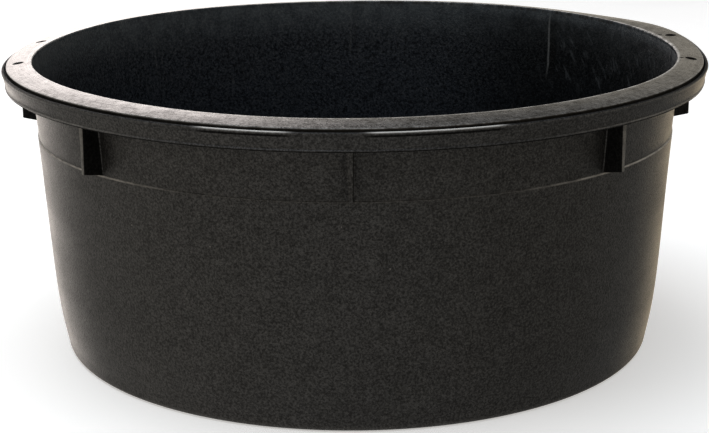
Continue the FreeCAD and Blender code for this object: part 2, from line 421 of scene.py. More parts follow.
def flange_stands(angle, r):
    """Height of the flange's top on the warped shape."""
    z = flange_top(r) + crown(r)
    return z + float(warp(angle, r, z)[1])


def flange_blank():
    lip_c = (OPENING_R + LIP_R, HEIGHT - LIP_R)
    slope = math.atan(FLANGE_SLOPE)
    lip_end = (lip_c[0] + LIP_R * math.sin(slope), lip_c[1] + LIP_R * math.cos(slope))
    mouth = seg((UPPER_IN_TOP_R, ROOT_Z), (OPENING_R, HEIGHT - LIP_R), 1.0)
    rest = arc(lip_c, LIP_R, 180.0, 90.0 - math.degrees(slope), 8)
    rest += [(r, z + crown(r))
             for r, z in seg(lip_end, (EDGE_TOP_R, flange_top(EDGE_TOP_R)), 1.6)]
    rest += arc(EDGE_C, EDGE_R, 74.0, 0.0, 5)
    rest += seg((FLANGE_OUT_R, EDGE_C[1]), (GROOVE_R, GROOVE_Z), 0.9)
    rest += seg((GROOVE_R, GROOVE_Z), SKIRT_ROOT, 1.5)
    rest += seg(SKIRT_ROOT, (UPPER_TOP_R, ROOT_Z), 3.0)
    rest += seg((UPPER_TOP_R, ROOT_Z), (UPPER_IN_TOP_R, ROOT_Z), 1.8)
    # the gusset dents fade out over the start of the lip
    dent = [1.0] * len(mouth) + [1.0, 0.6, 0.3] + [0.0] * (len(rest) - 3)
    return ring("tub_rim_flange", mouth + rest, WALL_TURNS, dent)


def hole_cutters(turn):
    """Straight drill, and a softly flared mouth square to the sloping flange."""
    angle = math.radians(turn)
    rise = flange_stands(angle, HOLE_PITCH_R - 6.0) - flange_stands(angle, HOLE_PITCH_R + 6.0)
    middle = Vector((HOLE_PITCH_R, 0, flange_stands(angle, HOLE_PITCH_R)))
    spin = Matrix.Rotation(angle, 3, "Z")
    mouth, mouth_r = HOLE_MOUTH, HOLE_R + HOLE_MOUTH * 0.82
    drill = [(0, -12), (HOLE_R, -12), (HOLE_R, 12), (0, 12)]
    flare = [(0, -4.0), (HOLE_R - 0.4, -4.0), (HOLE_R - 0.4, -mouth)]
    flare += [(mouth_r - (mouth + 0.05) * math.cos(math.radians(q)),
               -mouth + mouth * math.sin(math.radians(q))) for q in range(0, 91, 15)]
    flare += [(mouth_r + 0.5, 0.6), (mouth_r + 0.5, 4.0), (0, 4.0)]
    cutters = []
    for profile, lean in ((drill, 0.0), (flare, math.atan(rise / 12.0))):
        tilt = Matrix.Rotation(lean, 3, "Y")

        def place(r, z, angles):
            return [spin @ (middle + tilt @ Vector((r * math.cos(q), r * math.sin(q), z))) * MM
                    for q in angles]

        verts, faces, _ = lathe(profile, HOLE_SEGMENTS, place)
        # these profiles run upwards, so the faces are turned over
        faces = [(face[0],) + face[:0:-1] for face in faces]
        cutters.append(add_solid("cutter", verts, faces))
    return cutters


def pit_cutter(turn):
    """Ball that leaves a shallow dished pit in the flange's top."""
    a = math.radians(turn)
    ball = (PIT_R ** 2 + PIT_DEPTH ** 2) / (2.0 * PIT_DEPTH)
    centre = Vector((PIT_AT_R * math.cos(a), PIT_AT_R * math.sin(a),
                     flange_stands(a, PIT_AT_R) - PIT_DEPTH + ball)) * MM
    bm = bmesh.new()
    bmesh.ops.create_uvsphere(bm, u_segments=72, v_segments=48, radius=ball * MM)
    bmesh.ops.translate(bm, verts=bm.verts, vec=centre)
    return add_bmesh("cutter", bm)


def nearest(point, pitch_r, turns):
    """Distance in plan from a point to the nearest of the places at pitch_r."""
    return min(math.hypot(point.x - pitch_r * math.cos(math.radians(q)),
                          point.y - pitch_r * math.sin(math.radians(q))) for q in turns)


def hole_shade(poly):
    """How much painted shade a face gets for lying in a hole or a pit."""
    c = poly.center / MM
    if (nearest(c, HOLE_PITCH_R, HOLE_TURNS) < HOLE_R + 1.75
            and abs(poly.normal.z) < 0.94 and math.hypot(c.x, c.y) > 443.9):
        return 1.0 if c.x > 0 else 0.30       # less painted shade in the left-hand holes
    return 0.9 if nearest(c, PIT_AT_R, PIT_TURNS) < PIT_R + 0.1 else 0.0


def build_flange():
    ob = flange_blank()
    cutters = [cutter for turn in HOLE_TURNS for cutter in hole_cutters(turn)]
    cutters += [pit_cutter(turn) for turn in PIT_TURNS]
    for cutter in cutters:
        mod = ob.modifiers.new("hole", "BOOLEAN")
        mod.operation = "DIFFERENCE"
        mod.solver = "EXACT"
        mod.object = cutter
    depsgraph = bpy.context.evaluated_depsgraph_get()
    cut = bpy.data.meshes.new_from_object(ob.evaluated_get(depsgraph))
    ob.modifiers.clear()
    ob.data = cut
    smooth(cut, SHARP)
    for cutter in cutters:
        bpy.data.objects.remove(cutter)
    # painted shade in the holes and pits, face by face
    layer = cut.attributes.new("sec_hole_shade", "FLOAT", "FACE")
    layer.data.foreach_set("value", [hole_shade(poly) for poly in cut.polygons])
    # the cut has made new vertices, so places on the section are found by undoing the warp
    co = np.zeros(len(cut.vertices) * 3)
    cut.vertices.foreach_get("co", co)
    x, y, z_real = (co.reshape(-1, 3) / MM).T
    angles, r_real = np.arctan2(y, x), np.hypot(x, y)
    r, z = r_real, z_real
    for _ in range(4):
        dr, dz = warp(angles, r, z)
        r, z = r_real - dr, z_real - dz
    # painted shade in the groove under the flange's edge
    groove = (r > GROOVE_R - 0.2) & (z < EDGE_C[1] - 0.15) & (z > GROOVE_Z - 0.3)
    keep_section(ob, r, z, np.where(groove, 1.0, 0.0))
    return ob


# ---------------------------------------------------------------------------
# rolled edge
# ---------------------------------------------------------------------------
def skirt_out(z):
    t = (SKIRT_TOP_Z - z) / (SKIRT_TOP_Z - SKIRT_BOT_Z)
    return SKIRT_TOP_R + (SKIRT_BOT_R - SKIRT_TOP_R) * t


def skirt_painted_shade(r, z):
    """Depth of painted shade: the groove beside the bead, and the underside of the hem."""
    if z > GROOVE_Z - 0.05 and GROOVE_R - 0.05 < r < BEAD_C[0] - 1.9:
        return 1.0
    return 0.9 if z < SKIRT_BOT_Z + 1.25 and r > 468.0 else 0.0


def build_skirt():
    under = math.radians(BEAD_UNDER)
    bead_in_r = BEAD_C[0] - BEAD_R
    bead_end = (BEAD_C[0] + BEAD_R * math.cos(under), BEAD_C[1] - BEAD_R * math.sin(under))
    hem_top_z = SKIRT_BOT_Z + HEM_H
    hem_top = (skirt_out(hem_top_z), hem_top_z)
    hem_shoulder = (skirt_out(hem_top_z - HEM_OUT) + HEM_OUT, hem_top_z - HEM_OUT)
    hem_foot = (SKIRT_BOT_R + HEM_OUT, SKIRT_BOT_Z + HEM_R)
    hem_base = (hem_foot[0] - HEM_R, SKIRT_BOT_Z)
    skirt_top = (SKIRT_TOP_R, SKIRT_TOP_Z)
    in_bottom = (SKIRT_IN_BOT_R, SKIRT_BOT_Z)
    in_top = (SKIRT_IN_TOP_R, SKIRT_IN_TOP_Z)
    knee = (KNEE_R + 0.2, KNEE_Z)
    loop = seg((GROOVE_R, GROOVE_Z), (bead_in_r, GROOVE_Z), 0.7)
    loop += seg((bead_in_r, GROOVE_Z), (bead_in_r, BEAD_Z), 0.5)
    loop += arc(BEAD_C, BEAD_R, 180.0, -BEAD_UNDER, 26)
    loop += seg(bead_end, skirt_top, 0.3)
    loop += seg(skirt_top, hem_top, 0.9)
    loop += seg(hem_top, hem_shoulder, 0.5)
    loop += seg(hem_shoulder, hem_foot, 0.6)
    loop += arc((hem_base[0], hem_foot[1]), HEM_R, 0.0, -90.0, 6)
    loop += seg(hem_base, in_bottom, 1.0)
    loop += seg(in_bottom, in_top, 2.5)
    loop += seg(in_top, knee, 1.5)
    loop += seg(knee, SKIRT_ROOT, 1.5)
    loop += seg(SKIRT_ROOT, (GROOVE_R, GROOVE_Z), 1.5)
    return ring("tub_rim_skirt", loop, WALL_TURNS, sharp=SHARP_SMALL, painted_shade=skirt_painted_shade)


# ---------------------------------------------------------------------------
# gussets
# ---------------------------------------------------------------------------
ROUNDING = [math.radians(q) for q in (0, 22.5, 45, 67.5, 90)]


def gusset_slices():
    """(kind, place along the height, inset, flare) from the ledge up to the flange."""
    edge, root = GUSSET_EDGE, GUSSET_FILLET
    slices = [("low", edge * (1 - math.cos(a)), edge * (1 - math.sin(a)), 0.0) for a in ROUNDING]
    slices += [("mid", i / 20.0, 0.0, 0.0) for i in range(1, 20)]
    # the last stop is short of 90 degrees
    slices += [("top", root * (1 - math.sin(a)), 0.0, root * (1 - math.cos(a)))
               for a in ROUNDING[:-1] + [math.radians(88)]]
    return slices


def gusset_outline(kind, along, inset, flare):
    """Closed outline of one slice, from the wall out and back, as (r, y, z)."""
    edge, root = GUSSET_EDGE, GUSSET_FILLET
    z_mid = {"low": LEDGE_Z + along,
             "mid": LEDGE_Z + (ROOT_Z - LEDGE_Z) * along,
             "top": ROOT_Z - along}[kind]
    thicken = (GUSSET_TOP_HALF - GUSSET_LOW_HALF) * (z_mid - LEDGE_Z) / (ROOT_Z - LEDGE_Z)
    half = GUSSET_LOW_HALF + thicken - inset + flare
    z_wall = min(max(z_mid, LEDGE_Z), ROOT_Z)
    wall = LEDGE_HIGH_R + (UPPER_TOP_R - LEDGE_HIGH_R) * (z_wall - LEDGE_Z) / (ROOT_Z - LEDGE_Z)
    out = GUSSET_OUT_R - inset + flare
    plan = [(wall - 0.25, half + root)]
    plan += [(wall + root * (1 - math.cos(a)), half + root * (1 - math.sin(a)))
             for a in ROUNDING]
    plan += [(wall + root + (out - edge - wall - root) * i / 6.0, half) for i in range(1, 6)]
    plan += [(out - edge + edge * math.sin(a), half - edge + edge * math.cos(a))
             for a in ROUNDING]
    plan.append((out, 0.0))
    rise = (GUSSET_OUT_Z - LEDGE_Z) / (GUSSET_OUT_R - LEDGE_HIGH_R)
    points = []
    for r, y in plan:
        low = LEDGE_Z + max(0.0, r - LEDGE_HIGH_R) * rise
        high = flange_under(min(r, KNEE_R)) + 0.05
        if kind == "low":
            z = low + along
        elif kind == "top":
            z = high - along
        else:
            z = low + edge + (high - root - low - edge) * along
        points.append((r, y, z))
    return points + [(r, -y, z) for r, y, z in reversed(points[:-1])]


def build_gusset(node, turn):
    verts, rows, faces = [], [], []
    for cut in gusset_slices():
        outline = gusset_outline(*cut)
        rows.append(range(len(verts), len(verts) + len(outline)))
        verts += outline
    n = len(rows[0])
    for a, b in zip(rows, rows[1:]):
        for i in range(n):
            j = (i + 1) % n
            faces.append((a[i], a[j], b[j], b[i]))
    # the two end caps, as strips across the outline that end in a triangle
    for row, flip in ((rows[0], True), (rows[-1], False)):
        for i in range(n // 2):
            face = (row[i], row[i + 1], row[n - 2 - i], row[n - 1 - i])
            if face[1] == face[2]:
                face = face[:2] + face[3:]
            faces.append(tuple(reversed(face)) if flip else face)
    points = []
    for r, y, z in verts:
        theta, rad = math.atan2(y, r) + math.radians(turn), math.hypot(r, y)
        dr, dz = warp(theta, rad, z)
        rad, z = rad + float(dr), z + float(dz)
        points.append((rad * math.cos(theta) * MM, rad * math.sin(theta) * MM, z * MM))
    ob = add_solid("tub_" + node, points, faces, SHARP_SMALL)
    keep_section(ob, [v[0] for v in verts], [v[2] for v in verts])
    return ob


# ---------------------------------------------------------------------------
# node tree shorthand
# ---------------------------------------------------------------------------
def math_operator(operation, swapped=False):
    def apply(self, other):
        pair = (other, self) if swapped else (self, other)
        return self.tree.math(operation, *pair)
    return apply


class Wire:
    """A node output that can be used in arithmetic; every step adds a Math node."""

    def __init__(self, tree, socket):
        self.tree = tree
        self.socket = socket

    __add__ = math_operator("ADD")
    __radd__ = math_operator("ADD", swapped=True)
    __sub__ = math_operator("SUBTRACT")
    __rsub__ = math_operator("SUBTRACT", swapped=True)
    __mul__ = math_operator("MULTIPLY")
    __rmul__ = math_operator("MULTIPLY", swapped=True)
    __truediv__ = math_operator("DIVIDE")
    __mod__ = math_operator("FLOORED_MODULO")
    max = math_operator("MAXIMUM")
    min = math_operator("MINIMUM")

    def __abs__(self):
        return self.tree.math("ABSOLUTE", self)

    def ramp(self, start, stop, to=(0.0, 1.0)):
        """Smooth step from to[0] at start to to[1] at stop; start may be the larger."""
        n = self.tree.node("ShaderNodeMapRange", interpolation_type="SMOOTHSTEP", in_Value=self,
                           in_From_Min=start, in_From_Max=stop, in_To_Min=to[0], in_To_Max=to[1])
        return Wire(self.tree, n.outputs["Result"])


class Tree:
    """Shorthand for building a node tree."""

    def __init__(self, tree):
        self.tree = tree
        tree.nodes.clear()

    def plug(self, socket, value):
        if isinstance(value, Wire):
            self.tree.links.new(value.socket, socket)
        else:
            socket.default_value = value

    def node(self, kind, **values):
        """New node; in_Name or in_0 sets or links an input, other names are properties."""
        n = self.tree.nodes.new(kind)
        for name, value in values.items():
            if name.startswith("in_"):
                key = name[3:]
                key = int(key) if key.isdigit() else key.replace("_", " ")
                self.plug(n.inputs[key], value)
            else:
                setattr(n, name, value)
        return n

    def get(self, kind, output, **values):
        """New node, as the wire from one of its outputs."""
        return Wire(self, self.node(kind, **values).outputs[output])

    def math(self, operation, a, b=0.0):
        return self.get("ShaderNodeMath", 0, operation=operation, in_0=a, in_1=b, in_2=0.0)

    def vec(self, x, y, z):
        return self.get("ShaderNodeCombineXYZ", 0, in_0=x, in_1=y, in_2=z)

    def split(self, vector):
        return [Wire(self, s) for s in self.node("ShaderNodeSeparateXYZ", in_0=vector).outputs]

    def attribute(self, name):
        return self.get("ShaderNodeAttribute", "Fac", attribute_name=name)

    def noise(self, vector, scale=1.0, detail=2.0, rough=0.5, distort=0.0):
        return self.get("ShaderNodeTexNoise", "Fac", in_Vector=vector, in_Scale=scale,
                        in_Detail=detail, in_Roughness=rough, in_Distortion=distort)

    def mix(self, amount, under, over):
        return self.get("ShaderNodeMix", "Result", data_type="RGBA",
                        in_Factor=amount, in_A=under, in_B=over)

    def bump(self, height, distance, strength, **below):
        return self.get("ShaderNodeBump", "Normal", in_Height=height,
                        in_Distance=distance, in_Strength=strength, **below)


# ---------------------------------------------------------------------------
# black polyethylene
# ---------------------------------------------------------------------------
OUTSIDE = (0.0078, 0.0075, 0.0070)
# bluish colour of the bowl's side, painted cool light from overhead
INSIDE_BLUE_LIGHT = (0.0078, 0.0104, 0.0146)
FLECK = (0.20, 0.19, 0.175, 1.0)
SWIRL = (0.050, 0.055, 0.062, 1.0)
GRIT_DARK = (0.0016, 0.0020, 0.0026, 1.0)
GRIT_PALE = (0.021, 0.026, 0.032, 1.0)
# painted shade on the bowl's side towards +X
SHADE_RIGHT = (0.0016, 0.0020, 0.0020, 1.0)
RUBS = (0.060, 0.067, 0.074, 1.0)
# painted shade and painted highlight of the dents behind the gussets
DENT_SHADE = (0.0012, 0.0014, 0.0016, 1.0)
DENT_HIGHLIGHT = (0.105, 0.110, 0.112, 1.0)
# pale band under the rim, on the bowl's side
UNDER_RIM_PALE = (0.042, 0.050, 0.057, 1.0)
# painted highlight on the bead's crest
PAINTED_GLINT = (0.56, 0.545, 0.52, 1.0)
# near-black colour painted as shade in the groove, under the hem, in holes and pits and on parts
# of the bead
PAINTED_SHADE = (0.0012, 0.0012, 0.0012, 1.0)
# near-black painted shade for the gussets' sides
SIDE_SHADE = (0.0012, 0.0013, 0.0014, 1.0)
FILM = (0.018, 0.0155, 0.012, 1.0)

# (stretch round the tub, stretch in height, lean, scale of the patches) of hairline scratches
SCRATCHES = [(90.0, 7.0, 25.0, 14.0), (11.0, 120.0, 50.0, 19.0)]
# (bearing from the front towards +X, half width) of the lengths of bead with a painted highlight,
# degrees
GLINT_ARCS = [(12.0, 9.5), (-15.0, 6.5)]

# a pale band, of wear on some pieces and a painted highlight on others: axis of the section "r"
# or "z", its place and half width in mm
WearAndHighlightBand = namedtuple("WearAndHighlightBand", "axis at width strength sides_only", defaults=[False])


def largest(wires):
    result = wires[0]
    for wire in wires[1:]:
        result = result.max(wire)
    return result


def opaque(colour, red=1.0, green=None, blue=None):
    """RGBA of an RGB colour with its channels scaled, all by red unless the others are given."""
    gains = (red, red if green is None else green, red if blue is None else blue)
    return tuple(c * gain for c, gain in zip(colour, gains)) + (1.0,)


def add_places(t, f):
    """Where a point is: position, section, bearing, and which side of the wall."""
    geo = t.node("ShaderNodeNewGeometry")
    f.pos = Wire(t, geo.outputs["Position"])
    f.x, f.y, f.z = t.split(f.pos)
    nx, ny, nz = t.split(Wire(t, geo.outputs["Normal"]))
    f.rad = t.math("SQRT", f.x * f.x + f.y * f.y)
    f.sec_r = t.attribute("sec_r")
    f.sec_z = t.attribute("sec_z")
    f.bead = t.attribute("sec_bead")
    # degrees round the tub from the front, towards +X
    f.turn = t.math("DEGREES", t.math("ARCTAN2", f.x, f.y * -1.0))
    f.around = abs(f.turn)
    # 1 facing straight out, -1 facing the axis
    f.facing = (nx * f.x + ny * f.y) / f.rad.max(0.01)
    # 1 on the bowl's side of the wall and on its floor, 0 outside
    f.within = f.facing.ramp(start=-0.25, stop=-0.55).max(
        nz.ramp(start=0.5, stop=0.8) * f.z.ramp(start=0.06, stop=0.03))


def add_textures(t, f, speck, streak_height, streak_radius):
    """The random patterns the looks share, from broad to fine."""
    # long soft streaks that run round the tub
    across = f.z * streak_height + f.rad * streak_radius
    f.flow = t.noise(t.vec(f.x * 3.0, f.y * 3.0, across), detail=4.0, rough=0.62)
    f.short = t.noise(t.vec(f.x * 26.0, f.y * 26.0, across * 2.2), detail=3.0, rough=0.6)
    f.cloud = t.noise(f.pos, scale=9.0, detail=3.0, rough=0.55)
    f.blotch = t.noise(f.pos, scale=42.0, detail=3.0, rough=0.6)
    f.grit = t.noise(f.pos, scale=230.0, rough=0.6)
    f.mottle = t.noise(f.pos, scale=360.0, rough=0.75)
    f.fine = t.noise(f.pos, scale=900.0, rough=0.65)
    f.pebble = t.get("ShaderNodeTexVoronoi", "Distance", feature="SMOOTH_F1",
                     in_Vector=f.pos, in_Scale=520.0, in_Smoothness=0.5)
    # sparse pale flecks; speck is the share of cells that have one
    cells = t.node("ShaderNodeTexVoronoi", feature="F1",
                   in_Vector=f.pos, in_Scale=90.0, in_Randomness=1.0)
    chance = t.get("ShaderNodeSeparateColor", 0, in_0=Wire(t, cells.outputs["Color"]))
    f.fleck = Wire(t, cells.outputs["Distance"]).ramp(start=0.10, stop=0.045) \
        * chance.ramp(start=1.0 - speck, stop=1.0 - speck + 0.01)


def add_painted_shade_and_glint(t, f):
    """Painted shade in hollows, on the darkened lengths of the bead and in a thin dark band below
    it, and the lengths of bead with a painted highlight.
    """
    f.shiny = largest([abs(f.turn - at).ramp(start=half + 1.5, stop=half - 1.5)
                       for at, half in GLINT_ARCS])
    bead_shade = f.around.ramp(start=98.0, stop=84.0) * (0.85 - f.shiny * 0.85)
    under = abs(f.sec_z - (SKIRT_TOP_Z - 0.3) * MM).ramp(start=0.0019, stop=0.0008) \
        * f.sec_r.ramp(start=0.4716, stop=0.4724)
    f.painted_shade = t.attribute("sec_painted_shade").max(t.attribute("sec_hole_shade"))
    # painted shade on the bead away from the highlights, and a thin dark band of painted shade
    # just below the bead
    f.painted_shade = f.painted_shade.max(f.bead * bead_shade).max(under * (f.shiny * 0.75 + 0.15))


def add_marks(t, f, wear_and_highlight_marks):
    """Scratches, wavering marks, bands of wear and painted highlight bands."""
    lines = []
    for stretch, stretch_z, lean, patches in SCRATCHES:
        vector = t.vec(f.x * stretch + f.z * lean, f.y * stretch, f.z * stretch_z)
        thin = abs(t.noise(vector, detail=1.0, rough=0.4) - 0.5).ramp(start=0.012, stop=0.0)
        patch = t.noise(f.pos, scale=patches, detail=1.0)
        lines.append(thin * patch.ramp(start=0.55, stop=0.72))
    f.scratch = largest(lines)
    # wavering marks on the bowl's side, mostly towards +X
    swirl = t.noise(t.vec(f.x * 16.0, f.y * 16.0, f.z * 34.0), distort=1.4)
    f.swirl = abs(swirl - 0.5).ramp(start=0.035, stop=0.0) * f.within \
        * f.x.ramp(start=0.10, stop=0.36, to=(0.12, 1.0)) * f.blotch.ramp(start=0.36, stop=0.56)
    bands = []
    for pale_band in wear_and_highlight_marks:
        away = abs((f.sec_z if pale_band.axis == "z" else f.sec_r) - pale_band.at * MM)
        band = away.ramp(start=pale_band.width * MM, stop=0.0) * pale_band.strength
        if pale_band.sides_only:                    # fades out towards the front
            band = band * f.around.ramp(start=22.0, stop=50.0)
        bands.append(band)
    patchy = t.noise(f.pos, scale=60.0, detail=3.0, rough=0.6)
    worn = largest(bands) * patchy.ramp(start=0.25, stop=0.60, to=(0.35, 1.0))
    worn = (worn * (1.0 - f.within)).max(f.scratch * 0.05)
    # one small bright spot on the lip, at the front
    bright_spot = abs(f.turn + 0.4).ramp(start=0.42, stop=0.12) \
        * abs(f.sec_r - (OPENING_R + 2.6) * MM).ramp(start=0.0022, stop=0.0008)
    f.worn = worn.max(bright_spot * f.sec_z.ramp(start=0.391, stop=0.393, to=(0.0, 1.6)))
    # painted shade: a darker stretch of the bowl's side towards +X, below the lip
    f.clean = f.within * (f.x.ramp(start=0.08, stop=0.30) * f.z.ramp(start=0.392, stop=0.374))


def add_covers(t, f, shade, film):
    """Optional layers: painted shade on faces that look along the wall, and a patchy matt film.
    """
    f.shelter = abs(f.facing).ramp(start=0.55, stop=0.30) * shade if shade else None
    f.spots = None
    if film:
        # heavier towards +X
        smear = t.noise(t.vec(f.x * 62.0, f.y * 110.0, 0.0), detail=4.0, rough=0.7, distort=0.8)
        f.spots = smear.ramp(start=0.44, stop=0.60) \
            * f.x.ramp(start=-0.32, stop=0.12, to=(0.12, 1.0))


def tones(t, f, colour):
    """One colour broken up by the flow lines, clouds and mottling."""
    mixed = t.mix(f.flow.ramp(start=0.3, stop=0.7), opaque(colour, 0.90), opaque(colour, 1.12))
    mixed = t.mix(f.cloud.ramp(start=0.4, stop=0.75) * 0.25, mixed,
                  opaque(colour, red=1.3, green=1.26, blue=1.18))
    return t.mix(f.mottle.ramp(start=0.46, stop=0.72) * 0.65, mixed, opaque(colour, 3.4))


def slanting_rubs(t, f):
    """Short slanting rubbed marks high on the bowl's side, towards +X."""
    arc_at = f.turn * 0.0075                  # metres along the wall
    along = arc_at * 0.82 - f.z * 0.57
    across = arc_at * 0.57 + f.z * 0.82
    wear_and_highlight_marks = t.noise(t.vec(along * 120.0, across * 24.0, 0.0), detail=3.0, rough=0.65, distort=0.6)
    wear_and_highlight_marks = wear_and_highlight_marks.ramp(start=0.52, stop=0.68) * f.within \
        * (f.x.ramp(start=0.22, stop=0.34) * f.z.ramp(start=0.22, stop=0.31))
    return wear_and_highlight_marks * f.blotch.ramp(start=0.34, stop=0.62)


def dent_shade_and_highlight(t, f, colour):
    """Behind each gusset, on the bowl's side: painted shade over the dent, with a painted
    highlight along one flank.
    """
    # millimetres across from the gusset's middle, made to waver
    half = GUSSET_PITCH / 2
    flank = ((f.turn + (720.0 + half)) % GUSSET_PITCH - half) * 7.5
    flank = flank + (t.noise(f.pos, scale=22.0, rough=0.6) - 0.5) * 9.0
    # plain at the rear right gusset, faint at the others
    plain = abs(f.turn - 135.0).ramp(start=10.0, stop=16.0, to=(1.0, 0.22))
    high = f.z.ramp(start=0.285, stop=0.325) * f.within \
        * f.blotch.ramp(start=0.25, stop=0.60, to=(0.45, 1.0))
    dent_shade = abs(flank - 2.0).ramp(start=8.0, stop=4.5) * high
    dent_highlight = abs(flank - 10.8).ramp(start=2.6, stop=0.5) * high
    # painted shade and painted highlight of the dent
    colour = t.mix(dent_shade * plain * 0.85, colour, DENT_SHADE)
    return t.mix(dent_highlight * plain * 0.85, colour, DENT_HIGHLIGHT)


def skin_colour(t, f, base, wear_and_highlight_colour, film):
    """The plain tones, then each layer laid over the last by its amount."""
    # the bowl's side gets a bluish copy of the colours, painted cool light from overhead
    colour = t.mix(f.within, tones(t, f, base), tones(t, f, INSIDE_BLUE_LIGHT))
    colour = t.mix(f.fleck * 0.75, colour, FLECK)
    colour = t.mix(f.swirl * 0.38, colour, SWIRL)
    dark = f.grit.ramp(start=0.50, stop=0.34, to=(0.0, 0.75))
    pale = f.grit.ramp(start=0.54, stop=0.70, to=(0.0, 0.55))
    colour = t.mix(f.within * dark, colour, GRIT_DARK)
    colour = t.mix(f.within * pale, colour, GRIT_PALE)
    # painted shade on the bowl's side towards +X
    colour = t.mix(f.clean * 0.80, colour, SHADE_RIGHT)
    colour = t.mix(slanting_rubs(t, f) * 0.42, colour, RUBS)
    colour = dent_shade_and_highlight(t, f, colour)
    # a thin pale band under the rim, on the bowl's side
    under_rim_pale = f.z.ramp(start=0.325, stop=0.388) * f.within \
        * f.blotch.ramp(start=0.30, stop=0.65, to=(0.5, 1.0)) * (0.90 - f.clean * 0.60)
    colour = t.mix(under_rim_pale, colour, UNDER_RIM_PALE)
    # bands of wear on the base, and painted highlights along the ledge, the hem and the gussets'
    # outer edges
    colour = t.mix(f.worn * 0.60, colour, opaque(wear_and_highlight_colour))
    # a painted highlight on the bead's crest over the listed lengths
    colour = t.mix(f.bead * f.shiny * 0.9, colour, PAINTED_GLINT)
    # painted shade in the groove, under the hem, in holes and pits and on the bead
    colour = t.mix(f.painted_shade * 0.9, colour, PAINTED_SHADE)
    # painted shade on the gussets' sides
    if f.shelter:
        colour = t.mix(f.shelter, colour, SIDE_SHADE)
    if f.spots:
        colour = t.mix(f.spots * (film * 0.8), colour, FILM)
    return colour


def skin_sheen(t, f, specular, streak, patchy, film):
    """How much the skin mirrors: patchy, duller inside and in hollows."""
    medium = t.noise(f.pos, scale=130.0, rough=0.6)
    spec = specular * f.mottle.ramp(start=0.30, stop=0.70, to=(0.42, 1.66))
    for pattern, start, stop, swing in ((f.short, 0.30, 0.70, streak),
                                        (f.blotch, 0.38, 0.62, patchy),
                                        (medium, 0.38, 0.62, patchy * 1.3)):
        spec = spec * pattern.ramp(start, stop, to=(1.0 - swing, 1.0 + swing))
    spec = spec * (1.0 - f.within * 0.62)
    spec = spec * (1.0 - f.clean * 0.55)
    spec = spec * (1.0 + f.within * f.grit.ramp(start=0.34, stop=0.66, to=(-0.5, 0.5)))
    if f.shelter:
        spec = spec * (1.0 - f.shelter)
    spec = spec * (1.0 - f.painted_shade * 0.93)
    if f.spots:
        spec = spec * (1.0 - f.spots * film)
    return spec


def skin_roughness(f, rough):
    """Base roughness with the swing each pattern adds, kept within limits."""
    for pattern, swing in ((f.mottle, 0.22), (f.flow, 0.16), (f.cloud, 0.10)):
        rough = rough + (pattern - 0.5) * swing
    rough = rough + f.worn * 0.08 + f.painted_shade * 0.30
    return rough.min(0.95).max(0.12)


def skin_relief(t, f, grain):
    """Pebbled grain, mottling, flow lines, and the marks cut into them."""
    normal = t.bump(f.pebble * 0.6 + f.fine * 0.5, distance=0.0005 * grain, strength=0.6)
    normal = t.bump(f.mottle, distance=0.0015 * grain, strength=0.50, in_Normal=normal)
    normal = t.bump(f.flow, distance=0.0008, strength=0.20, in_Normal=normal)
    return t.bump(f.swirl * -1.0 - f.scratch, distance=0.0002, strength=0.35, in_Normal=normal)


def plastic(name, wear_and_highlight_marks, wear_and_highlight_colour, rough, grain, speck, base=OUTSIDE, streak_height=0.0,
            streak_radius=0.0, specular=0.5, streak=0.08, shade=0.0, patchy=0.05, film=0.0):
    """Black moulded polyethylene.

    The list of bands holds bands of wear and bands of painted highlight, with one colour for
    them; grain scales the relief and speck is the share of flecks. streak_height and
    streak_radius squeeze the flow lines along z and r.
    streak and patchy are swings of the sheen; shade and film weigh the optional covers.
    """
    mat = bpy.data.materials.new(name)
    mat.use_nodes = True
    t = Tree(mat.node_tree)
    f = SimpleNamespace()
    add_places(t, f)
    add_textures(t, f, speck, streak_height, streak_radius)
    add_painted_shade_and_glint(t, f)
    add_marks(t, f, wear_and_highlight_marks)
    add_covers(t, f, shade, film)
    bsdf = t.get("ShaderNodeBsdfPrincipled", "BSDF",
                 in_Base_Color=skin_colour(t, f, base, wear_and_highlight_colour, film),
                 in_Roughness=skin_roughness(f, rough),
                 in_Normal=skin_relief(t, f, grain),
                 in_IOR=1.5,
                 in_Specular_IOR_Level=skin_sheen(t, f, specular, streak, patchy, film))
    t.node("ShaderNodeOutputMaterial", in_Surface=bsdf)
    return mat


